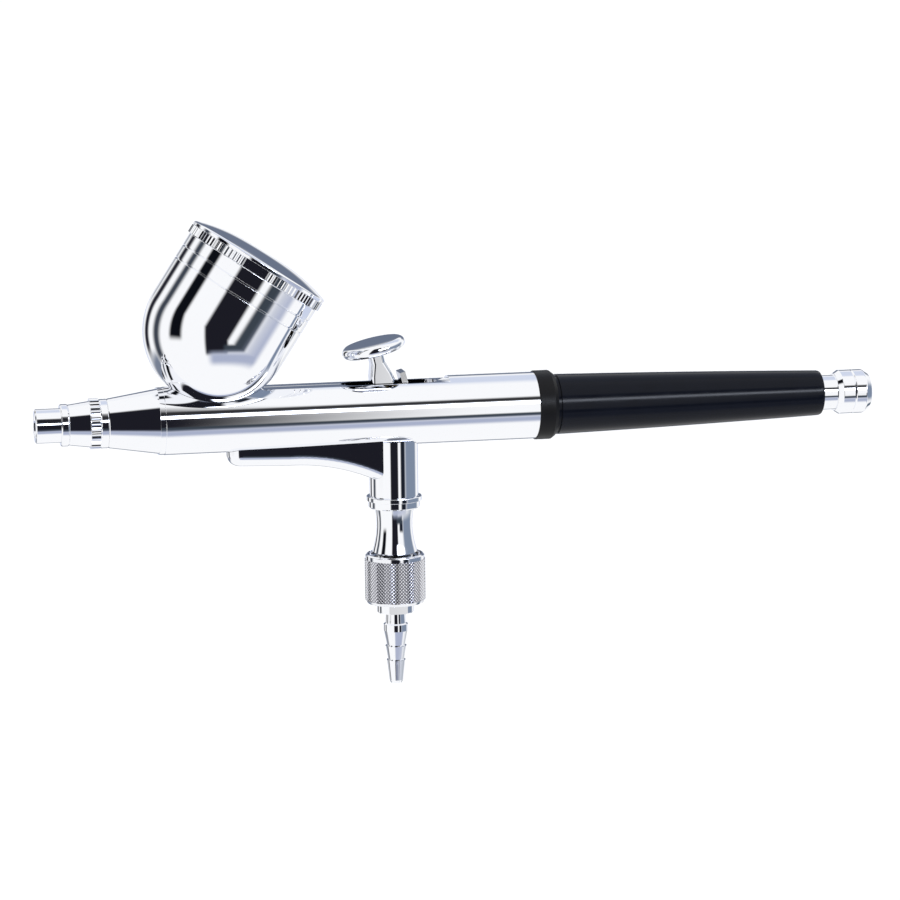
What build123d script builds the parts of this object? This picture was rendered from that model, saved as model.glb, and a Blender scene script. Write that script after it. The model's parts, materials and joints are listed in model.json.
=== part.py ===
"""Dual-action, gravity-feed airbrush with a tilted cup and a quick-release air coupling.

Millimetres. The origin is where the barrel's axis (X) crosses the air valve's axis (Z).
The nozzle points to -X, the cup stands on +Z and the hose leaves to -Z.
"""
import os
from math import cos, pi, radians, sin

from build123d import *

# ---- driving dimensions ----------------------------------------------------
GAP = 0.05              # radial running clearance between turned pieces
SEAT_GAP = 0.03         # play between brazed or screwed neighbours

BARREL_R = 6.0
BARREL_FRONT, BARREL_REAR = -41.2, 25.6
CHAMBER_R, CHAMBER_FRONT = 4.4, -9.5    # bore for lever, needle guide and spring
FLAT_Z = 5.2                            # milled flat on top of the barrel
FLAT_FRONT, FLAT_REAR = -27.0, 9.9
SLOT_FRONT, SLOT_REAR, SLOT_HALF = -9.3, 8.0, 2.4

NEEDLE_R = 0.6
NEEDLE_TIP, NEEDLE_TAPER, NEEDLE_END = -61.0, -51.5, 66.0
PAINT_BORE_R = 1.0
SPIGOT_END = -37.6                      # rear end of the head cone's screwed spigot

CUP_X, CUP_Z, CUP_TILT = -31.3, 15.6, 33.2   # centre of the round bottom, tilt in degrees
CUP_R, CUP_WALL, CUP_HEIGHT = 12.9, 0.7, 12.2
CUP_RINGS = (7.3, 9.8)                       # heights of the two engraved rings
CUP_OUTLET_R = 1.6
LID_R, LID_RIM, LID_RISE, LID_TEETH = 13.3, 2.3, 1.5, 96

TRIGGER_PIVOT_Z, TRIGGER_LEAN = -3.0, 13.0   # foot's axis and forward lean at rest
FOOT_R, FOOT_HALF = 1.4, 1.15
STEM_TOP, BUTTON_THICK, BUTTON_R = 14.0, 1.9, 5.7
LEVER_X, LEVER_Z, LEVER_THICK = 2.45, -3.2, 1.0   # axis of the lever's round foot

CASING_R, CASING_BOTTOM = 4.36, -15.2
COUPLER_TOP = -25.7                          # upper rim of the knurled collar
BALL_ROW_Z, BALL_ROW_R, COUPLER_BALL_R, BALL_COUNT = -28.0, 3.17, 0.75, 6

HANDLE_FRONT, HANDLE_REAR = 29.8, 79.3
CASE_FRONT, CASE_REAR = 14.0, 36.0
KNOB_FRONT, KNOB_REAR, KNOB_R = 82.0, 88.5, 4.0
STOP_TIP = 71.2


# ---- helpers ---------------------------------------------------------------
def outline(outer, inner):
    """Closed polygon from an outer run of points and an inner run, both in the same order."""
    return make_face(Polyline(*outer, *reversed(inner), close=True))


def to_axis(points):
    """The same stations on the axis, which closes a solid of revolution."""
    return [(points[0][0], 0), (points[-1][0], 0)]


def turned_x(outer, inner=None):
    """Body of revolution about X from (x, radius) points, front to rear."""
    return revolve(outline(outer, inner or to_axis(outer)), Axis.X)


def turned_z(outer, inner=None):
    """Body of revolution about Z from (z, radius) points, top to bottom."""
    swap = [[(r, z) for z, r in run] for run in (outer, inner or to_axis(outer))]
    return revolve(Plane.XZ * outline(*swap), Axis.Z)


def rod_x(start, end, radius):
    return turned_x([(start, radius), (end, radius)])


def rod_z(top, bottom, radius):
    return turned_z([(top, radius), (bottom, radius)])


def ring_x(start, end, outer, inner):
    return turned_x([(start, outer), (end, outer)], [(start, inner), (end, inner)])


def ring_z(top, bottom, outer, inner):
    return turned_z([(top, outer), (bottom, outer)], [(top, inner), (bottom, inner)])


def block(x, y, z):
    """Box between three (low, high) pairs."""
    size = [pair[1] - pair[0] for pair in (x, y, z)]
    centre = [(pair[0] + pair[1]) / 2 for pair in (x, y, z)]
    return Pos(*centre) * Box(*size)


def slab(points, half_width):
    """Plate with an (x, z) outline, centred on Y."""
    return extrude(Plane.XZ * make_face(Polyline(*points, close=True)), half_width, both=True)


def toothed_disc(radius, depth, teeth, thickness):
    """Disc on the XY plane whose rim has straight, pointed teeth."""
    points = []
    for tooth in range(teeth):
        for part, r in ((0.0, radius), (0.25, radius), (0.5, radius - depth), (0.75, radius - depth)):
            angle = 2 * pi * (tooth + part) / teeth
            points.append((r * cos(angle), r * sin(angle)))
    return extrude(make_face(Polyline(*points, close=True)), thickness)


def torus(ring, wire):
    return Torus(ring, wire)


def coil(radius, wire, length, turns):
    """Round-wire compression spring standing on z = 0; length is over the wire."""
    path = Helix(pitch=(length - 2 * wire) / turns, height=length - 2 * wire, radius=radius)
    section = Plane(path @ 0, z_dir=path % 0) * Circle(wire)
    return Pos(0, 0, wire) * sweep(section, path, is_frenet=True)


# ---- nozzle end ------------------------------------------------------------
def needle_cap():
    front, step, rear = -63.5, -59.1, -57.7
    return turned_x(
        [(front, 2.75), (front + 0.3, 3.0), (step, 3.0), (step, 3.5), (step + 0.2, 3.7),
         (rear - 0.2, 3.7), (rear, 3.5)],
        [(front, 2.1), (-60.0, 1.7), (-60.0, 2.4), (rear, 2.4)])


def air_cap():
    cone_rear, knurl_rear, rear = -54.0, -52.3, -50.9
    shell = turned_x(
        [(-59.7, 2.35), (-57.7, 2.35), (-57.7, 3.55), (cone_rear, 4.05), (cone_rear, 3.9),
         (knurl_rear, 3.9), (knurl_rear, 4.15), (knurl_rear + 0.2, 4.32), (rear, 4.32)],
        [(-59.7, 0.75), (-58.9, 0.75), (-58.9, 1.1), (cone_rear, 2.8), (cone_rear, 3.3),
         (rear, 3.3)])
    band = Pos(cone_rear, 0, 0) * Rot(0, 90, 0) * toothed_disc(4.5, 0.28, 28, knurl_rear - cone_rear)
    return shell + (band - rod_x(cone_rear, knurl_rear, 3.85))


def fluid_nozzle():
    return turned_x(
        [(-59.5, 0.45), (-49.0, 1.5), (-49.0, 1.9), (-47.6, 1.9), (-47.6, 1.2), (-45.0, 1.2)],
        [(-59.5, 0.22), (-52.0, 0.78), (-45.0, 0.78)])


def nozzle_washer():
    return ring_x(-47.6, -47.3, 1.9, 1.25)


def head_cone():
    front, rear = -50.9, -42.1
    body = turned_x(
        [(-53.8, 3.25), (front, 3.25), (front, 4.25), (front + 0.15, 4.35), (rear, 5.72), (rear, 3.95),
         (SPIGOT_END, 3.95)],
        [(-53.8, 2.4), (-47.3, 2.4), (-47.3, 1.23), (-45.0, 1.23), (-45.0, PAINT_BORE_R),
         (SPIGOT_END, PAINT_BORE_R)])
    air_way = Pos(-41.5, 0, -2.9) * Rot(0, 90, 0) * Cylinder(0.4, 12.2)
    side_cut = Pos(-47.5, 0, -2.6) * Cylinder(0.4, 1.2)
    return body - air_way - side_cut


def head_gasket():
    return ring_x(-42.1, BARREL_FRONT, 5.95, 4.05)


# ---- barrel and what is brazed to it ---------------------------------------
def barrel():
    body = turned_x([(BARREL_FRONT, BARREL_R - 0.1), (BARREL_FRONT + 0.1, BARREL_R),
                     (BARREL_REAR, BARREL_R)])
    body -= block((FLAT_FRONT, FLAT_REAR), (-BARREL_R, BARREL_R), (FLAT_Z, BARREL_R + 1))
    body -= rod_x(BARREL_FRONT, SPIGOT_END, 4.0)                      # head spigot
    body -= rod_x(SPIGOT_END, -27.0, PAINT_BORE_R)                    # paint passage
    body -= rod_x(-27.0, -24.0, NEEDLE_R + 0.2)
    body -= rod_x(-24.0, CHAMBER_FRONT, 2.0)                     # packing and its screw
    body -= rod_x(CHAMBER_FRONT, BARREL_REAR, CHAMBER_R)
    slot_length = SLOT_REAR - SLOT_FRONT
    slot = SlotOverall(slot_length, 2 * SLOT_HALF)
    body -= Pos((SLOT_FRONT + SLOT_REAR) / 2, 0, 2) * extrude(slot, 5)
    body -= Pos(CUP_X, 0, CUP_Z) * Sphere(CUP_R + SEAT_GAP)
    body -= rod_z(5.0, 0.0, CUP_OUTLET_R).moved(Location((CUP_X, 0, 0)))
    body -= rod_z(-3.0, -7.0, 3.2)                               # valve casing spigot
    body -= Pos(-22.5, 0, -4.95) * Rot(0, 90, 0) * Cylinder(0.45, 40.0)   # air duct to the head
    return body


def paint_cup():
    inner = CUP_R - CUP_WALL
    side = [(CUP_R, 0)]
    for height in CUP_RINGS:
        side += [(CUP_R, height - 0.16), (CUP_R - 0.16, height), (CUP_R, height + 0.16)]
    side += [(CUP_R, CUP_HEIGHT - 0.2), (CUP_R - 0.2, CUP_HEIGHT), (inner, CUP_HEIGHT), (inner, 0)]
    edges = [
        CenterArc((0, 0), CUP_R, -90, 90),
        Polyline(*side),
        CenterArc((0, 0), inner, 0, -90),
        Line((0, -inner), (0, -CUP_R)),
    ]
    cup = revolve(Plane.XZ * make_face(edges), Axis.Z)
    cup = Pos(CUP_X, 0, CUP_Z) * Rot(0, CUP_TILT, 0) * cup
    return cup - rod_z(5.0, 0.0, CUP_OUTLET_R).moved(Location((CUP_X, 0, 0)))


def cup_lid():
    skirt = CUP_R - CUP_WALL - GAP
    base, top = CUP_HEIGHT, CUP_HEIGHT + LID_RIM
    rim = Pos(0, 0, base) * toothed_disc(LID_R, 0.3, LID_TEETH, LID_RIM - 0.5)
    dome = make_face([
        Line((0, base), (LID_R - 0.2, base)),
        Line((LID_R - 0.2, base), (LID_R - 0.2, base + 0.15)),
        Line((LID_R - 0.2, base + 0.15), (LID_R - 0.45, base + 0.15)),
        Line((LID_R - 0.45, base + 0.15), (LID_R - 0.45, top - 0.5)),
        Line((LID_R - 0.45, top - 0.5), (LID_R, top - 0.5)),
        Line((LID_R, top - 0.5), (LID_R - 0.25, top)),
        ThreePointArc((LID_R - 0.25, top), (LID_R * 0.55, top + 0.9 * LID_RISE), (0, top + LID_RISE)),
        Line((0, top + LID_RISE), (0, base)),
    ])
    lid = rim + revolve(Plane.XZ * dome, Axis.Z)
    lid += ring_z(base, base - 2.3, skirt, skirt - 0.7)
    lid -= rod_z(base + 1.6, base - 0.5, skirt - 0.7)
    lid -= rod_z(top + 3, base, 0.5)                             # air vent
    return Pos(CUP_X, 0, CUP_Z) * Rot(0, CUP_TILT, 0) * lid


def finger_guard():
    """Solid keel under the barrel that runs back into the valve casing."""
    nose, tail = -30.0, -2.0
    top = -4.4
    side = make_face([
        Polyline((nose, top), (nose, -8.5), (-19.0, -8.8)),
        ThreePointArc((-19.0, -8.8), (-10.6, -9.62), (-3.4, -12.1)),
        Polyline((-3.4, -12.1), (tail, -12.8), (tail, top), (nose, top)),
    ])
    half_nose, half_tail = 2.6, 3.6
    plan = make_face([
        ThreePointArc((nose + half_nose, -half_nose), (nose, 0), (nose + half_nose, half_nose)),
        Polyline((nose + half_nose, half_nose), (tail, half_tail), (tail, -half_tail),
                 (nose + half_nose, -half_nose)),
    ])
    keel = extrude(Plane.XZ * side, half_tail + 1, both=True) & Pos(0, 0, -14) * extrude(plan, 12)
    lower = [e for e in keel.edges() if e.center().Z < -7.5 and abs(e.center().X - tail) > 1.0]
    keel = fillet(lower, 2.1)
    keel -= rod_x(nose - 1, tail + 1, BARREL_R + SEAT_GAP)
    return keel - rod_z(0, -16, CASING_R + SEAT_GAP)


# ---- needle packing --------------------------------------------------------
def needle_packing():
    return ring_x(-24.0, -21.6, 1.97, NEEDLE_R + GAP)


def packing_screw():
    screw = ring_x(-21.6, -15.0, 1.95, NEEDLE_R + 0.2)
    return screw - block((-16.0, -15.0), (-2, 2), (-0.35, 0.35))


# ---- trigger and air valve -------------------------------------------------
def on_trigger(shape):
    """Moves a shape from the trigger's own frame (foot's axis at 0, stem up) to its place."""
    return Pos(0, 0, TRIGGER_PIVOT_Z) * Rot(0, -TRIGGER_LEAN, 0) * shape


def trigger_stem():
    right = [(0.85, 1.0), (1.15, 3.2), (2.25, 8.6), (1.9, 10.2), (1.25, 12.2), (1.25, STEM_TOP)]
    plate = slab(right + [(-t, s) for t, s in reversed(right)], 1.8)
    plate = fillet([e for e in plate.edges() if abs(e.center().Y) > 1.7 and e.center().Z > 1.5
                    and e.center().Z < STEM_TOP - 0.1], 0.7)
    plate += block((-0.85, 0.85), (-FOOT_HALF, FOOT_HALF), (0, 2))
    foot = Rot(90, 0, 0) * Cylinder(FOOT_R, 2 * FOOT_HALF)
    needle_way = block((-4, 4), (-0.85, 0.85), (1.8, 7.0))
    return on_trigger(plate + foot - needle_way)


def trigger_button():
    disc = Pos(0, 0, STEM_TOP + BUTTON_THICK / 2) * Cylinder(BUTTON_R, BUTTON_THICK)
    disc = fillet(disc.edges().sort_by(Axis.Z)[-1:], 0.55)
    disc = fillet(disc.edges().sort_by(Axis.Z)[:1], 0.7)
    dish_r = 60.0
    dish = Pos(0, 0, STEM_TOP + BUTTON_THICK - 0.18 + dish_r) * Sphere(dish_r)
    return on_trigger(disc - dish)


def auxiliary_lever():
    half = LEVER_THICK / 2
    front = [(LEVER_X - half, LEVER_Z), (LEVER_X - half, 3.3), (LEVER_X - 1.5, 7.0)]
    back = [(LEVER_X - 0.5, 7.3), (LEVER_X + half, 3.5), (LEVER_X + half, LEVER_Z)]
    needle_way = block((0, 4), (-0.9, 0.9), (-1.5, 2.4))
    foot = Pos(LEVER_X, 0, LEVER_Z) * Rot(90, 0, 0) * Cylinder(half, 3.8)
    return slab(front + back, 1.9) + foot - needle_way


def valve_piston():
    body = turned_z([(-4.0, 2.0), (-5.3, 2.0), (-5.3, 1.0), (-9.0, 1.0)])
    trough = Pos(0, 0, TRIGGER_PIVOT_Z) * Rot(90, 0, 0) * Cylinder(FOOT_R + GAP, 2 * (FOOT_HALF + 0.15))
    return body - trough


def valve_plunger():
    return turned_z([(-9.0, 1.0), (-9.35, 1.0), (-9.35, 1.85), (-9.9, 1.85), (-9.9, 0.8), (-10.7, 0.8)])


def valve_oring():
    return Pos(0, 0, -9.17) * torus(1.3, 0.16)


def valve_spring():
    return Pos(0, 0, -13.0) * coil(1.35, 0.15, 3.08, 4)


def valve_casing():
    shell = turned_z(
        [(-4.45, 3.15), (-5.0, 3.15), (-5.0, CASING_R), (CASING_BOTTOM + 0.15, CASING_R),
         (CASING_BOTTOM, CASING_R - 0.15)],
        [(-4.45, 2.3), (-7.3, 2.3), (-7.3, 1.07), (-8.95, 1.07), (-8.95, 2.4), (-13.4, 2.4),
         (-13.4, 2.65), (CASING_BOTTOM, 2.65)])
    spigot = ring_z(-4.45, -6.5, 3.15, 2.3)
    return shell - rod_x(-6, 6, BARREL_R + SEAT_GAP) + spigot


def valve_screw():
    return turned_z(
        [(-11.0, 2.35), (-13.4, 2.35)],
        [(-11.0, 1.95), (-13.0, 1.95), (-13.0, 0.8), (-13.4, 0.8)])


def plug_washer():
    return ring_z(-13.4, -13.8, 2.6, 1.3)


def quick_plug():
    """Flange and waisted plug, with a nipple that runs down into the coupler."""
    neck = [(-17.3, 3.55), (-18.6, 3.3), (-20.8, 3.2), (-23.0, 3.45), (-24.6, 3.85), (-25.3, 4.0)]
    plug = turned_z(
        [(-13.8, 2.6), (CASING_BOTTOM, 2.6), (CASING_BOTTOM, 4.8), (CASING_BOTTOM - 0.15, 4.95),
         (-16.0, 4.95), (-16.1, 4.6), (-17.1, 4.6), (-17.3, 4.4)]
        + neck + [(-25.5, 3.9), (-25.5, 3.3), (-31.0, 3.3), (-31.3, 3.0)],
        [(-13.8, 1.3), (-31.3, 1.3)])
    return plug - Pos(0, 0, BALL_ROW_Z) * torus(BALL_ROW_R, 0.83)


# ---- quick-release coupler and hose tail -----------------------------------
def ball_places():
    return PolarLocations(BALL_ROW_R, BALL_COUNT)


def coupler_body():
    body = turned_z(
        [(-26.0, 3.9), (-26.3, 3.9), (-26.3, 3.7), (-26.7, 3.7), (-26.7, 3.9), (-33.4, 3.9),
         (-33.4, 4.3), (-34.4, 4.3)],
        [(-26.0, 3.36), (-32.0, 3.36), (-32.0, 2.22), (-34.4, 2.22)])
    for place in ball_places():
        pocket = Pos(place.position.X, place.position.Y, BALL_ROW_Z) * Sphere(COUPLER_BALL_R + 0.05)
        body -= pocket
    return body


def coupler_balls():
    balls = [Pos(p.position.X, p.position.Y, BALL_ROW_Z) * Sphere(COUPLER_BALL_R) for p in ball_places()]
    return Compound(children=balls)


def snap_ring():
    ring = ring_z(-26.32, -26.68, 4.25, 3.72)
    return ring - block((2, 6), (-0.5, 0.5), (-27, -26))


def coupler_seal():
    return Pos(0, 0, -31.66) * torus(2.7, 0.3)


def collar_spring():
    return Pos(0, 0, -33.37) * coil(4.3, 0.2, 4.12, 5)


def coupler_collar():
    bottom = -34.6
    return turned_z(
        [(COUPLER_TOP, 5.0), (COUPLER_TOP - 0.25, 5.3), (-26.5, 5.3), (-26.5, 5.45), (-34.1, 5.45),
         (bottom, 5.05)],
        [(COUPLER_TOP, 4.75), (-27.0, 4.75), (-27.0, 3.96), (-29.2, 3.96), (-29.2, 4.7), (bottom, 4.7)])


def hose_barb():
    """Wrench ring, neck and three shallow barbs; the first one ends in a short plain land."""
    body = turned_z(
        [(-32.1, 2.17), (-34.45, 2.17), (-34.45, 3.2), (-34.6, 3.35), (-36.25, 3.35), (-36.4, 3.2),
         (-36.4, 1.75), (-38.4, 1.85), (-38.6, 2.2), (-39.8, 2.2), (-42.6, 1.62), (-42.6, 1.9),
         (-45.2, 1.45), (-45.2, 1.7), (-48.9, 1.25), (-49.4, 1.05)],
        [(-32.1, 0.8), (-49.4, 0.8)])
    for side in (-1, 1):
        body -= block((-4, 4), (side * 3.9 - 1, side * 3.9 + 1), (-37, -34.5))
    return body


# ---- needle train ----------------------------------------------------------
def needle():
    return turned_x([(NEEDLE_TIP, 0.05), (NEEDLE_TAPER, NEEDLE_R), (NEEDLE_END - 0.4, NEEDLE_R),
                     (NEEDLE_END, 0.3)])


def needle_guide():
    """Flange that the lever pushes, a long tube through the spring, and a split collet."""
    bore = NEEDLE_R + 0.03
    guide = turned_x(
        [(3.1, 3.5), (4.25, 3.5), (4.25, 2.0), (38.5, 2.0), (41.5, 2.5), (43.0, 1.6)],
        [(3.1, bore), (43.0, bore)])
    for cut in (block((39, 44), (-0.2, 0.2), (-3, 3)), block((39, 44), (-3, 3), (-0.2, 0.2))):
        guide -= cut
    return guide


def chuck_nut():
    return turned_x(
        [(37.6, 3.0), (38.0, 3.3), (46.6, 3.3), (47.0, 3.0)],
        [(37.6, 2.55), (41.6, 2.55), (43.3, 1.65), (43.3, 0.75), (47.0, 0.75)])


def needle_spring():
    return Pos(4.28, 0, 0) * Rot(0, 90, 0) * coil(2.75, 0.25, 30.05, 16)


def spring_case():
    return turned_x(
        [(CASE_FRONT, 4.35), (CASE_REAR, 4.35)],
        [(CASE_FRONT, 3.65), (34.4, 3.65), (34.4, 2.0 + GAP), (CASE_REAR, 2.0 + GAP)])


# ---- handle and needle stop ------------------------------------------------
def trim_ring():
    rear = 29.1
    return turned_x(
        [(BARREL_REAR, 6.1), (BARREL_REAR + 0.1, 6.2), (rear - 0.7, 6.2), (rear, 5.7)],
        [(BARREL_REAR, 4.38), (rear, 4.38)])


def handle():
    front, rear = HANDLE_FRONT, HANDLE_REAR
    edges = [
        Polyline((29.1, 4.38), (29.1, 5.1), (front, 5.1), (front, 5.42)),
        ThreePointArc((front, 5.42), (57.0, 4.79), (rear - 0.5, 4.1)),
        Polyline((rear - 0.5, 4.1), (rear - 0.12, 3.98), (rear, 3.6), (rear, 3.2), (75.5, 3.2),
                 (75.5, 1.25), (72.5, 1.25), (72.5, 2.2), (50.5, 2.2), (50.5, 3.8), (37.0, 3.8),
                 (37.0, 4.38), (29.1, 4.38)),
    ]
    return revolve(make_face(edges), Axis.X)


def stop_screw():
    return turned_x([(STOP_TIP, 0.9), (STOP_TIP + 0.3, 1.2), (80.4, 1.2)])


def stop_oring():
    return Pos(78.35, 0, 0) * Rot(0, 90, 0) * torus(2.1, 0.55)


def stop_knob():
    return turned_x(
        [(79.0, 2.9), (79.2, 3.14), (KNOB_FRONT, 3.14), (KNOB_FRONT, 3.4), (KNOB_FRONT + 0.9, KNOB_R),
         (85.0, KNOB_R), (85.2, 3.8), (85.4, KNOB_R), (KNOB_REAR - 1.2, KNOB_R), (KNOB_REAR, 3.2)],
        [(79.0, 1.22), (80.45, 1.22), (80.45, 0), (KNOB_REAR, 0)])


# ---- written nodes ---------------------------------------------------------
NODES = (
    needle_cap, air_cap, fluid_nozzle, nozzle_washer, head_cone, head_gasket,
    barrel, paint_cup, cup_lid, finger_guard, needle_packing, packing_screw,
    trigger_stem, trigger_button, auxiliary_lever,
    valve_piston, valve_plunger, valve_oring, valve_spring, valve_casing, valve_screw, plug_washer,
    quick_plug, coupler_body, coupler_balls, snap_ring, coupler_seal, collar_spring, coupler_collar,
    hose_barb, needle, needle_guide, chuck_nut, needle_spring, spring_case,
    trim_ring, handle, stop_screw, stop_oring, stop_knob,
)

os.makedirs("parts", exist_ok=True)
for make in NODES:
    shape = make()
    shape.label = make.__name__
    export_step(shape, f"parts/{make.__name__}.step")
    print(make.__name__, round(shape.volume, 3))
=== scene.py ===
"""Looks of the airbrush: chrome shells, knurled pieces, black handle, and a soft white studio."""
import json
import math

import bmesh
import bpy
from mathutils import Matrix, Vector


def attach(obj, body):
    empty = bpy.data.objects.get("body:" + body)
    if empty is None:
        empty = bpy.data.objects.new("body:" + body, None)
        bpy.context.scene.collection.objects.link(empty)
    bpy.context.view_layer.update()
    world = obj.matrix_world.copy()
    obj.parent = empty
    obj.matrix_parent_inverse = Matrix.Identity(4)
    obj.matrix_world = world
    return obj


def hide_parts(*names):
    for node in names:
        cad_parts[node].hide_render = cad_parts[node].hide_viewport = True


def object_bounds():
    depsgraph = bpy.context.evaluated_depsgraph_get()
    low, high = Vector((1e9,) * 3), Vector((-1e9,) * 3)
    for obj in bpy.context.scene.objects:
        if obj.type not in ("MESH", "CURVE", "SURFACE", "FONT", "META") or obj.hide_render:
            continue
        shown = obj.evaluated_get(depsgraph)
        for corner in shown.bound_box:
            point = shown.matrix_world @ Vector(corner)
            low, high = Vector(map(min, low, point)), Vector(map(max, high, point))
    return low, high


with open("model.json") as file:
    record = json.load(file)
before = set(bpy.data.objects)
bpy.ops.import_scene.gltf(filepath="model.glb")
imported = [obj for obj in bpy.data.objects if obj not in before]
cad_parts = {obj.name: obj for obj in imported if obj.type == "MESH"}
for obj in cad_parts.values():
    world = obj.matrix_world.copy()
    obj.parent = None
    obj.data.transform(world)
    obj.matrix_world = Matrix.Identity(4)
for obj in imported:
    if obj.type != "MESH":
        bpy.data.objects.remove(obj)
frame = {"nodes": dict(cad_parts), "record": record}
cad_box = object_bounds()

MM = 0.001
scene = bpy.context.scene


# ---- camera ----------------------------------------------------------------
AZIMUTH, ELEVATION, ROLL = math.radians(-12.0), math.radians(9.6), math.radians(-0.6)
DISTANCE, LENS = 0.590, 132.0
TARGET = Vector((10.3, 0.0, -7.5)) * MM


def make_camera():
    back = Vector((math.sin(AZIMUTH) * math.cos(ELEVATION), -math.cos(AZIMUTH) * math.cos(ELEVATION),
                   math.sin(ELEVATION)))
    side = Vector((math.cos(AZIMUTH), math.sin(AZIMUTH), 0.0))
    up = back.cross(side)
    right = side * math.cos(ROLL) + up * math.sin(ROLL)
    top = up * math.cos(ROLL) - side * math.sin(ROLL)
    data = bpy.data.cameras.new("camera")
    data.lens, data.sensor_width = LENS, 36.0
    data.clip_start, data.clip_end = 0.01, 50.0
    camera = bpy.data.objects.new("camera", data)
    scene.collection.objects.link(camera)
    turn = Matrix((right, top, back)).transposed().to_4x4()
    camera.matrix_world = Matrix.Translation(TARGET + back * DISTANCE) @ turn
    scene.camera = camera


# ---- node helper -----------------------------------------------------------
class Graph:
    """Short spelling for building shader nodes."""

    def __init__(self, tree):
        self.tree = tree
        tree.nodes.clear()

    def add(self, kind, inputs=None, **settings):
        node = self.tree.nodes.new(kind)
        for name, value in settings.items():
            setattr(node, name, value)
        for key, value in (inputs or {}).items():
            self.feed(node, key, value)
        return node

    def feed(self, node, key, value):
        socket = node.inputs[key]
        if isinstance(value, bpy.types.NodeSocket):
            self.tree.links.new(value, socket)
        else:
            socket.default_value = value

    def math(self, operation, a, b=0.0, clamp=False):
        node = self.add("ShaderNodeMath", {0: a, 1: b}, operation=operation, use_clamp=clamp)
        return node.outputs[0]

    def step(self, value, low, high):
        """Smooth step from 0 at low to 1 at high."""
        node = self.add("ShaderNodeMapRange", {0: value, 1: low, 2: high, 3: 0.0, 4: 1.0},
                        interpolation_type="SMOOTHSTEP")
        return node.outputs[0]

    def mix(self, factor, a, b):
        node = self.add("ShaderNodeMix", {0: factor, 6: a, 7: b}, data_type="RGBA")
        return node.outputs[2]


# ---- studio ----------------------------------------------------------------
# Cards round the white tent: azimuth span, elevation span, softness (degrees), colour. All are
# darker than the tent but one, a bright softbox. A later card covers an earlier one.
# Azimuth 0 is straight in front of the gun (-Y), 90 is to the handle's end (+X).
CARDS = (
    ((-26, 10), (-30, 56), (3, 4), (0.012, 0.012, 0.018)),
    ((22, 44), (-20, -3), (4, 3), (0.012, 0.016, 0.026)),
    ((-86, -64), (-6, 62), (4, 5), (0.004, 0.005, 0.008)),
    ((4, 44), (25, 37), (4, 4), (0.030, 0.030, 0.034)),
    ((4, 40), (-27, -15), (4, 3), (0.045, 0.058, 0.075)),
    ((-20, 70), (-46, -27), (8, 7), (0.42, 0.46, 0.60)),
    ((45, 112), (-24, 18), (8, 8), (0.22, 0.27, 0.36)),
    ((112, 130), (-45, -22), (5, 6), (0.10, 0.14, 0.19)),
    ((136, 196), (4, 26), (8, 4), (0.15, 0.18, 0.25)),
    ((136, 196), (-15, -1), (8, 4), (0.70, 0.74, 0.86)),
    ((104, 178), (38, 72), (10, 8), (0.66, 0.71, 0.84)),
    ((4, 44), (15, 22), (3, 3), (13.0, 14.0, 16.0)),
    ((204, 220), (-18, 24), (5, 6), (0.02, 0.02, 0.03)),
    ((150, 235), (-36, -20), (8, 5), (0.20, 0.23, 0.30)),
    ((236, 252), (-30, 40), (6, 8), (0.05, 0.06, 0.08)),
)
WHITE = (1.0, 1.0, 1.0, 1.0)


def make_world():
    world = bpy.data.worlds.new("studio")
    world.use_nodes = True
    scene.world = world
    g = Graph(world.node_tree)
    direction = g.add("ShaderNodeTexCoord").outputs["Generated"]
    unit = g.add("ShaderNodeVectorMath", {0: direction}, operation="NORMALIZE").outputs[0]
    xyz = g.add("ShaderNodeSeparateXYZ", {0: unit})
    rise = g.math("MULTIPLY", g.math("ARCSINE", xyz.outputs[2]), 180 / math.pi)
    front = g.math("MULTIPLY", xyz.outputs[1], -1.0)
    turn = g.math("MULTIPLY", g.math("ARCTAN2", xyz.outputs[0], front), 180 / math.pi)
    colour = WHITE
    for (az_low, az_high), (el_low, el_high), (az_soft, el_soft), tint in CARDS:
        centre, half = (az_low + az_high) / 2, (az_high - az_low) / 2
        offset = g.math("WRAP", g.math("SUBTRACT", turn, centre), 180.0)
        offset.node.inputs[2].default_value = -180.0
        across = g.step(g.math("ABSOLUTE", offset), half + az_soft, half - az_soft)
        above = g.step(rise, el_low - el_soft, el_low + el_soft)
        below = g.step(rise, el_high + el_soft, el_high - el_soft)
        cover = g.math("MULTIPLY", across, g.math("MULTIPLY", above, below))
        colour = g.mix(cover, colour, (*tint, 1.0))
    sees_camera = g.add("ShaderNodeLightPath").outputs["Is Camera Ray"]
    diffuse = g.add("ShaderNodeLightPath").outputs["Is Diffuse Ray"]
    plain = g.math("ADD", sees_camera, diffuse, clamp=True)
    colour = g.mix(plain, colour, (1.04, 1.04, 1.04, 1.0))
    back = g.add("ShaderNodeBackground", {0: colour, 1: 1.0})
    out = g.add("ShaderNodeOutputWorld")
    g.tree.links.new(back.outputs[0], out.inputs[0])


def make_floor():
    size, depth = 30.0, cad_box[0][2] - 0.22
    mesh = bpy.data.meshes.new("floor")
    corners = [(-size, -size, depth), (size, -size, depth), (size, size, depth), (-size, size, depth)]
    mesh.from_pydata(corners, [], [(0, 1, 2, 3)])
    floor = bpy.data.objects.new("floor", mesh)
    scene.collection.objects.link(floor)
    material = bpy.data.materials.new("floor")
    material.use_nodes = True
    g = Graph(material.node_tree)
    shader = g.add("ShaderNodeBsdfPrincipled", {"Base Color": (0.97, 0.97, 0.97, 1), "Roughness": 0.9})
    out = g.add("ShaderNodeOutputMaterial")
    g.tree.links.new(shader.outputs[0], out.inputs[0])
    mesh.materials.append(material)
    floor.visible_glossy = False


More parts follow.
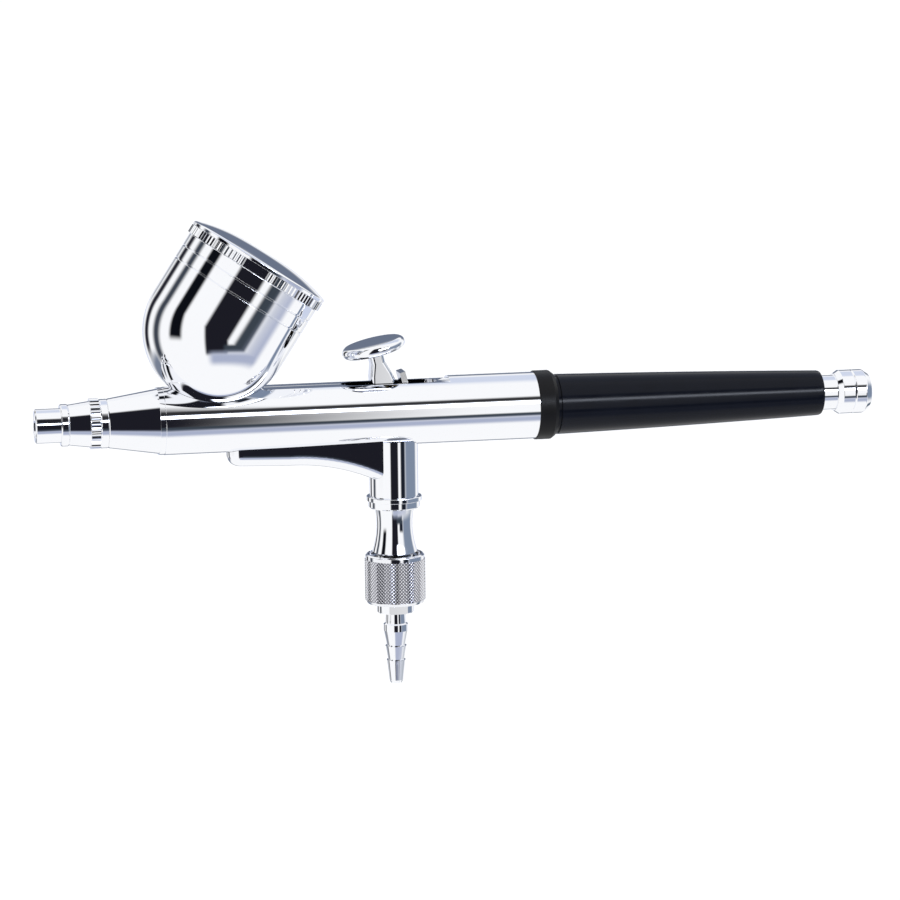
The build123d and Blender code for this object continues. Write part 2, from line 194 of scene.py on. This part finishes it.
# ---- materials -------------------------------------------------------------
HAZE_SCALE = 160.0                       # patches of haze, per metre
GRAIN_SCALE, GRAIN_DEPTH = 4000.0, 0.00002
GROOVE_SHADE_COLOUR = (0.30, 0.30, 0.34, 1)    # painted shade in the bottom of the knurl's grooves


def new_material(name):
    material = bpy.data.materials.new(name)
    material.use_nodes = True
    return material, Graph(material.node_tree)


def close(g, shader, bump=None):
    if bump is not None:
        g.feed(shader, "Normal", bump)
    out = g.add("ShaderNodeOutputMaterial")
    g.tree.links.new(shader.outputs[0], out.inputs[0])


def noise(g, scale, detail):
    where = g.add("ShaderNodeTexCoord").outputs["Object"]
    return g.add("ShaderNodeTexNoise",
                 {"Vector": where, "Scale": scale, "Detail": detail}).outputs[0]


def hazy(g, roughness, spread):
    """Noise in soft patches, and a roughness that rises with it."""
    patches = noise(g, HAZE_SCALE, 4.0)
    haze = g.add("ShaderNodeMapRange",
                 {0: patches, 1: 0.35, 2: 0.75, 3: roughness, 4: roughness + spread})
    return patches, haze.outputs[0]


def metal(name, tint, roughness, spread=0.02, grain=0.0):
    """Metal with faint patches of haze, and a fine machined grain where asked."""
    material, g = new_material(name)
    patches, haze = hazy(g, roughness, spread)
    shade = g.add("ShaderNodeMapRange", {0: patches, 1: 0.3, 2: 0.8, 3: 1.0, 4: 0.965})
    colour = g.mix(shade.outputs[0], (*(c * 0.9 for c in tint), 1), (*tint, 1))
    shader = g.add("ShaderNodeBsdfPrincipled",
                   {"Base Color": colour, "Metallic": 1.0, "Roughness": haze})
    bump = None
    if grain:
        lines = noise(g, GRAIN_SCALE, 1.0)
        bump = g.add("ShaderNodeBump",
                     {"Height": lines, "Strength": grain, "Distance": GRAIN_DEPTH}).outputs[0]
    close(g, shader, bump)
    return material


def knurled(name, tint, roughness, low, high):
    """Metal with painted shade in the grooves, darkest inside the first of two distances from the Z axis
    and clear beyond the second, in metres.
    """
    material, g = new_material(name)
    xyz = g.add("ShaderNodeSeparateXYZ", {0: g.add("ShaderNodeTexCoord").outputs["Object"]})
    across = g.math("POWER", xyz.outputs[0], 2.0)
    radius = g.math("SQRT", g.math("ADD", across, g.math("POWER", xyz.outputs[1], 2.0)))
    unshaded = g.step(radius, low, high)
    # painted shade: the bottoms of the knurl's grooves get a darker colour
    colour = g.mix(unshaded, GROOVE_SHADE_COLOUR, (*tint, 1))
    haze = hazy(g, roughness, 0.04)[1]
    shader = g.add("ShaderNodeBsdfPrincipled",
                   {"Base Color": colour, "Metallic": 1.0, "Roughness": haze})
    close(g, shader)
    return material


def coating(name, colour, roughness, bump_scale, bump_strength, specular=0.5):
    """Paint, rubber or plastic with a fine grain and slight wear in its tone."""
    material, g = new_material(name)
    patches = noise(g, 220.0, 5.0)
    tone = g.mix(patches, (*(c * 0.75 for c in colour), 1), (*(min(1.0, c * 1.3) for c in colour), 1))
    gloss = g.add("ShaderNodeMapRange", {0: patches, 1: 0.3, 2: 0.7, 3: roughness, 4: roughness + 0.06})
    shader = g.add("ShaderNodeBsdfPrincipled", {"Base Color": tone, "Roughness": gloss.outputs[0]})
    shader.inputs["Specular IOR Level"].default_value = specular
    grain = noise(g, bump_scale, 2.0)
    bump = g.add("ShaderNodeBump", {"Height": grain, "Strength": bump_strength, "Distance": 0.00001})
    close(g, shader, bump.outputs[0])
    return material


CHROME = metal("chrome", (0.94, 0.95, 0.98), 0.02)
SATIN = metal("satin_nickel", (0.90, 0.91, 0.95), 0.07, 0.03)
KNURL = knurled("knurled_nickel_groove_shade", (0.90, 0.91, 0.95), 0.07, 0.00527, 0.00540)
STEEL = metal("steel", (0.72, 0.72, 0.73), 0.14, 0.05, 0.10)
SPRING = metal("spring_steel", (0.55, 0.55, 0.57), 0.22)
BRASS = metal("brass", (0.80, 0.62, 0.30), 0.16, 0.06, 0.10)
BLACK = coating("black_handle", (0.003, 0.004, 0.008), 0.14, 9000.0, 0.05, 0.14)
RING = coating("black_ring", (0.006, 0.006, 0.007), 0.34, 7000.0, 0.10, 0.14)
RUBBER = coating("seal_black", (0.020, 0.020, 0.020), 0.55, 9000.0, 0.20)
PTFE = coating("seal_white", (0.82, 0.82, 0.80), 0.40, 9000.0, 0.10)


# ---- shapes ----------------------------------------------------------------
def arc3(p, q, r, count):
    """Points of the circle arc from p through q to r."""
    (ax, ay), (bx, by), (cx, cy) = p, q, r
    d = 2 * (ax * (by - cy) + bx * (cy - ay) + cx * (ay - by))
    a2, b2, c2 = ax * ax + ay * ay, bx * bx + by * by, cx * cx + cy * cy
    ox = (a2 * (by - cy) + b2 * (cy - ay) + c2 * (ay - by)) / d
    oy = (a2 * (cx - bx) + b2 * (ax - cx) + c2 * (bx - ax)) / d
    start, end = math.atan2(ay - oy, ax - ox), math.atan2(cy - oy, cx - ox)
    middle = math.atan2(by - oy, bx - ox)
    sweep = (end - start) % (2 * math.pi)
    if (middle - start) % (2 * math.pi) > sweep:
        sweep -= 2 * math.pi
    radius = math.hypot(ax - ox, ay - oy)
    angles = [start + sweep * i / count for i in range(count + 1)]
    return [(ox + radius * math.cos(t), oy + radius * math.sin(t)) for t in angles]


FILLET_STEPS = 5
SMOOTH_ANGLE = math.radians(24)    # edges that meet at less are one curved surface


def rounded(outline):
    """Closed outline whose corners with a third number are filleted by that radius."""
    result = []
    for i, corner in enumerate(outline):
        here = Vector(corner[:2])
        if len(corner) < 3:
            result.append(here)
            continue
        before = Vector(outline[i - 1][:2]) - here
        after = Vector(outline[(i + 1) % len(outline)][:2]) - here
        half = before.angle(after) / 2
        reach = min(corner[2] / math.tan(half), before.length * 0.49, after.length * 0.49)
        radius = reach * math.tan(half)
        before.normalize()
        after.normalize()
        centre = here + (before + after).normalized() * (radius / math.sin(half))
        first, last = here + before * reach - centre, here + after * reach - centre
        turn = first.angle_signed(last)
        for k in range(FILLET_STEPS + 1):
            angle = -turn * k / FILLET_STEPS
            c, s = math.cos(angle), math.sin(angle)
            result.append(centre + Vector((first.x * c - first.y * s, first.x * s + first.y * c)))
    return result


def edge_normals(points):
    """Outward normals at the two ends of each edge of a closed outline."""
    count = len(points)
    area = sum(points[i].cross(points[(i + 1) % count]) for i in range(count))
    side = 1.0 if area > 0 else -1.0
    runs = [points[(i + 1) % count] - points[i] for i in range(count)]
    flat = [Vector((run.y, -run.x)).normalized() * side for run in runs]
    shared = []
    for i in range(count):
        a, b = flat[i - 1], flat[i]
        if a.dot(b) < math.cos(SMOOTH_ANGLE):
            shared.append((a, b))
            continue
        before, after = runs[i - 1].length, runs[i].length
        if before > 3 * after:
            shared.append((a, a))
        elif after > 3 * before:
            shared.append((b, b))
        else:
            shared.append(((a + b).normalized(),) * 2)
    return [(shared[i][1], shared[(i + 1) % count][0]) for i in range(count)]


# From (along, radial cosine, radial sine) to x, y, z.
X_AXIS = Matrix(((1, 0, 0), (0, 1, 0), (0, 0, 1)))
Z_AXIS = Matrix(((0, 1, 0), (0, 0, 1), (1, 0, 0)))


def link(name, mesh, material, node):
    """Adds a piece. node is the CAD node that it replaces, or a 1-tuple of the body it rides on."""
    piece = bpy.data.objects.new(name, mesh)
    scene.collection.objects.link(piece)
    mesh.materials.clear()
    mesh.materials.append(material)
    if isinstance(node, str):
        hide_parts(node)
        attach(piece, BODY_OF[node])
    else:
        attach(piece, node[0])
    return piece


def lathe(name, outline, axes, material, node, place=Matrix.Identity(4), around=192):
    """Turned piece from a closed (along, radius[, fillet]) outline in millimetres."""
    points = rounded(outline)
    points = [p for i, p in enumerate(points) if (p - points[i - 1]).length > 1e-5]
    ends = edge_normals(points)
    verts, first, single = [], [], []
    rims = [(math.cos(2 * math.pi * k / around), math.sin(2 * math.pi * k / around))
            for k in range(around)]
    for p in points:
        first.append(len(verts))
        single.append(p.y < 1e-6)
        for c, s in (rims[:1] if single[-1] else rims):
            verts.append(place @ (axes @ Vector((p.x, p.y * c, p.y * s)) * MM))
    turn = place.to_3x3().normalized()
    faces, normals = [], []
    for i in range(len(points)):
        j = (i + 1) % len(points)
        if single[i] and single[j]:
            continue
        for k in range(around):
            n = (k + 1) % around
            corners = [(i, k, 0)] if single[i] else [(i, k, 0), (i, n, 0)]
            corners += [(j, k, 1)] if single[j] else [(j, n, 1), (j, k, 1)]
            faces.append([first[v] + (0 if single[v] else m) for v, m, _ in corners])
            middle = (2 * k + 1) * math.pi / around
            for v, m, end in corners:
                a, r = ends[i][end]
                c, s = (math.cos(middle), math.sin(middle)) if single[v] else rims[m]
                normals.append(turn @ (axes @ Vector((a, r * c, r * s))))
    return solid(name, verts, faces, normals, material, node)


def solid(name, verts, faces, normals, material, node):
    """Closed mesh with its own normals, turned outside out where its faces were wound inwards."""
    mesh = bpy.data.meshes.new(name)
    mesh.from_pydata(verts, [], faces)
    face = mesh.polygons[0]
    if face.normal.dot(normals[0]) < 0:
        mesh.flip_normals()
        flipped, at = [], 0
        for corners in faces:
            run = normals[at:at + len(corners)]
            flipped += [run[0]] + run[:0:-1]
            at += len(corners)
        normals = flipped
    mesh.polygons.foreach_set("use_smooth", [True] * len(mesh.polygons))
    mesh.normals_split_custom_set(normals)
    return link(name, mesh, material, node)


def sleeve(name, start, end, inner, columns, rows, radius_at, axes, material, body,
           place=Matrix.Identity(4)):
    """Closed ring with a cut pattern on its outside; radius_at(column, row) in millimetres."""
    verts, faces = [], []
    for j in range(rows + 1):
        along = start + (end - start) * j / rows
        for i in range(columns):
            t, r = 2 * math.pi * i / columns, radius_at(i, j)
            verts.append(place @ (axes @ Vector((along, r * math.cos(t), r * math.sin(t))) * MM))
    base = len(verts)
    for along in (start, end):
        for i in range(columns):
            t = 2 * math.pi * i / columns
            verts.append(place @ (axes @ Vector((along, inner * math.cos(t), inner * math.sin(t))) * MM))
    for i in range(columns):
        n = (i + 1) % columns
        for j in range(rows):
            a, b, c, d = j * columns + i, j * columns + n, (j + 1) * columns + n, (j + 1) * columns + i
            faces += [(a, b, c), (a, c, d)] if (i + j) % 2 else [(a, b, d), (b, c, d)]
        top = rows * columns
        faces += [(n, i, base + i, base + n), (top + i, top + n, base + columns + n, base + columns + i),
                  (base + i, base + columns + i, base + columns + n, base + n)]
    mesh = bpy.data.meshes.new(name)
    mesh.from_pydata(verts, [], faces)
    work = bmesh.new()
    work.from_mesh(mesh)
    bmesh.ops.recalc_face_normals(work, faces=work.faces)
    work.to_mesh(mesh)
    work.free()
    mesh.polygons.foreach_set("use_smooth", [False] * len(mesh.polygons))
    return link(name, mesh, material, (body,))


def refined(name, node, axes, material):
    """Copy of a CAD mesh whose round faces about an axis get exact normals; the rest stay flat."""
    mesh = frame["nodes"][node].data.copy()
    back = axes.inverted()
    normals = []
    for face in mesh.polygons:
        n, c = back @ face.normal, back @ face.center
        out, span = Vector((c.y, c.z)), Vector((n.y, n.z))
        round_face = span.length > 0.02 and out.length > 1e-6 and \
            abs(out.normalized().dot(span.normalized())) > 0.994
        sign = 1.0 if out.dot(span) > 0 else -1.0
        for index in face.vertices:
            v = back @ mesh.vertices[index].co
            radial = Vector((v.y, v.z)).normalized() * span.length * sign
            normals.append(axes @ Vector((n.x, radial.x, radial.y)) if round_face else face.normal.copy())
    mesh.polygons.foreach_set("use_smooth", [True] * len(mesh.polygons))
    mesh.normals_split_custom_set(normals)
    return link(name, mesh, material, node)


BODY_OF = {node: body for body, names in frame["record"]["behaviour"]["bodies"].items()
           for node in names}
CUP_CENTRE, CUP_TILT = (-31.3, 0, 15.6), 33.2
TRIGGER_PIVOT, TRIGGER_LEAN = (0, 0, -3.0), -13.0
CUP_R, CUP_INNER_R, CUP_HEIGHT, RING_CUT = 12.9, 12.2, 12.2, 0.16
KNURL_VALLEY, KNURL_PEAK = 5.27, 5.45


def tilted(centre, degrees):
    """Place of a piece that leans about the Y axis."""
    return Matrix.Translation(Vector(centre) * MM) @ Matrix.Rotation(math.radians(degrees), 4, "Y")


CUP = tilted(CUP_CENTRE, CUP_TILT)
TRIGGER = tilted(TRIGGER_PIVOT, TRIGGER_LEAN)


def nose():
    lathe("nose_cap", [(-63.5, 2.75, 0.1), (-63.5, 2.1, 0.1), (-60.0, 1.7), (-60.0, 2.4), (-57.7, 2.4),
                       (-57.7, 3.6, 0.1), (-57.9, 3.7, 0.1), (-58.9, 3.7, 0.1), (-59.1, 3.55, 0.1),
                       (-59.1, 3.0), (-63.3, 3.0, 0.15)][::-1], X_AXIS, CHROME, "needle_cap")
    lathe("air_cap_shell", [(-59.7, 2.35), (-57.7, 2.35), (-57.7, 3.55, 0.1), (-54.0, 4.05, 0.08),
                            (-54.0, 4.15), (-52.3, 4.15), (-52.3, 4.2, 0.1), (-52.1, 4.32, 0.1),
                            (-50.9, 4.32, 0.12), (-50.9, 3.3), (-54.0, 3.3), (-54.0, 2.8), (-58.9, 1.1),
                            (-58.9, 0.75), (-59.7, 0.75)], X_AXIS, CHROME, "air_cap")
    shape = (4.46, 4.5, 4.46, 4.27, 4.22, 4.27)
    sleeve("air_cap_teeth", -53.95, -52.35, 4.0, 168, 2, lambda i, j: shape[i % 6], X_AXIS, CHROME,
           "root")


def quarter(radius, start, step):
    """Quarter circle of (along, radius) points; step is +1 or -1 for its direction."""
    angles = [start + step * k * math.pi / 72 for k in range(37)]
    return [(radius * math.cos(t), abs(radius * math.sin(t))) for t in angles]


def cup():
    wall = []
    for height in (7.3, 9.8):
        wall += [(height - RING_CUT, CUP_R, 0.05), (height, CUP_R - RING_CUT),
                 (height + RING_CUT, CUP_R, 0.05)]
    lip = [(CUP_HEIGHT, CUP_R, 0.2), (CUP_HEIGHT, CUP_INNER_R, 0.08)]
    outline = (quarter(CUP_R, math.pi, -1) + wall + lip
               + quarter(CUP_INNER_R, math.pi / 2, 1))
    lathe("cup", outline, Z_AXIS, CHROME, "paint_cup", CUP, 256)
    dome = arc3((14.5, 13.05), (15.85, 7.3), (16.0, 0.5), 28)
    rim = [(13.8, 0.5), (13.8, 11.45), (9.9, 11.45, 0.1), (9.9, 12.15, 0.1), (12.2, 12.15),
           (12.2, 13.0), (13.72, 13.0), (13.78, 13.25, 0.04), (14.3, 13.3, 0.12)]
    lathe("lid", rim + dome, Z_AXIS, CHROME, "cup_lid", CUP, 256)
    teeth = (13.3, 13.3, 13.05, 13.05)
    sleeve("lid_teeth", 12.22, 13.7, 12.9, 384, 2, lambda i, j: teeth[i % 4], Z_AXIS, CHROME, "lid",
           CUP)


def trigger():
    dish = arc3((15.72, 0.0), (15.78, 2.6), (15.92, 4.9), 10)
    edge = arc3((14.02, 5.0), (14.85, 5.7), (15.9, 5.0), 12)
    lathe("button", [(14.0, 0.0), (14.0, 5.0), *edge, *reversed(dish)], Z_AXIS, CHROME,
          "trigger_button", TRIGGER)


def valve_and_plug():
    neck = [(-17.3, 4.4, 0.1), (-17.32, 3.55), (-18.0, 3.42), (-18.8, 3.29), (-19.8, 3.21),
            (-20.8, 3.2), (-21.8, 3.28), (-22.8, 3.42), (-23.8, 3.62), (-24.6, 3.83), (-25.3, 4.0),
            (-25.5, 3.9), (-25.5, 3.3), (-31.0, 3.3), (-31.3, 3.0), (-31.3, 1.3)]
    lathe("plug", [(-13.8, 1.3), (-13.8, 2.6), (-15.2, 2.6), (-15.2, 4.95, 0.12), (-16.0, 4.95, 0.1),
                   (-16.05, 4.6), (-17.1, 4.6, 0.12)] + neck, Z_AXIS, CHROME, "quick_plug")
    refined("valve_shell", "valve_casing", Z_AXIS, CHROME)


def coupler():
    lathe("collar_shell", [(-25.7, 5.0, 0.1), (-25.95, 5.3, 0.1), (-26.6, 5.3), (-26.6, 5.2),
                           (-34.0, 5.2), (-34.0, 5.4, 0.08), (-34.6, 5.05, 0.15), (-34.6, 4.7),
                           (-29.2, 4.7), (-29.2, 3.96), (-27.0, 3.96), (-27.0, 4.75), (-25.7, 4.75)],
          Z_AXIS, SATIN, "coupler_collar")
    sleeve("collar_knurl", -26.62, -33.98, 5.1, 110, 24,
           lambda i, j: KNURL_VALLEY if (i + j) % 2 else KNURL_PEAK, Z_AXIS, KNURL, "collar")
    refined("hose_tail", "hose_barb", Z_AXIS, CHROME)


def rear():
    lathe("trim", [(25.6, 4.38), (25.6, 6.15, 0.1), (25.75, 6.2, 0.1), (28.4, 6.2, 0.2),
                   (29.1, 5.7, 0.15), (29.1, 4.38)], X_AXIS, RING, "trim_ring")
    side = arc3((29.8, 5.42), (57.0, 4.79), (78.8, 4.1), 60)
    lathe("grip", [(29.1, 4.38), (29.1, 5.1, 0.05), (29.78, 5.1), *side, (79.18, 3.98, 0.1),
                   (79.3, 3.6, 0.1), (79.3, 3.2), (75.5, 3.2), (75.5, 1.25), (72.5, 1.25), (72.5, 2.2),
                   (50.5, 2.2), (50.5, 3.8), (37.0, 3.8), (37.0, 4.38)],
          X_AXIS, BLACK, "handle")
    lathe("knob", [(79.0, 1.22), (79.0, 2.9, 0.1), (79.2, 3.14, 0.1), (82.0, 3.14), (82.0, 3.4, 0.08),
                   (82.9, 4.0, 0.2), (85.0, 4.0, 0.08), (85.2, 3.8), (85.4, 4.0, 0.08), (87.3, 4.0, 0.8),
                   (88.5, 3.2, 0.5), (88.5, 0.0), (80.45, 0.0), (80.45, 1.22)],
          X_AXIS, CHROME, "stop_knob")


FINISH = {
    "chrome": CHROME, "satin_nickel": SATIN, "steel": STEEL, "spring_steel": SPRING, "brass": BRASS,
    "black_handle": BLACK, "black_ring": RING, "seal_black": RUBBER, "seal_white": PTFE,
}

make_camera()
make_world()
make_floor()
nose()
cup()
trigger()
valve_and_plug()
coupler()
rear()
refined("body_tube", "barrel", X_AXIS, CHROME)
for part in frame["record"]["subparts"]:
    slots = frame["nodes"][part["node"]].data.materials
    slots.clear()
    slots.append(FINISH[part["material_slot"]])

scene.view_settings.view_transform = "Standard"
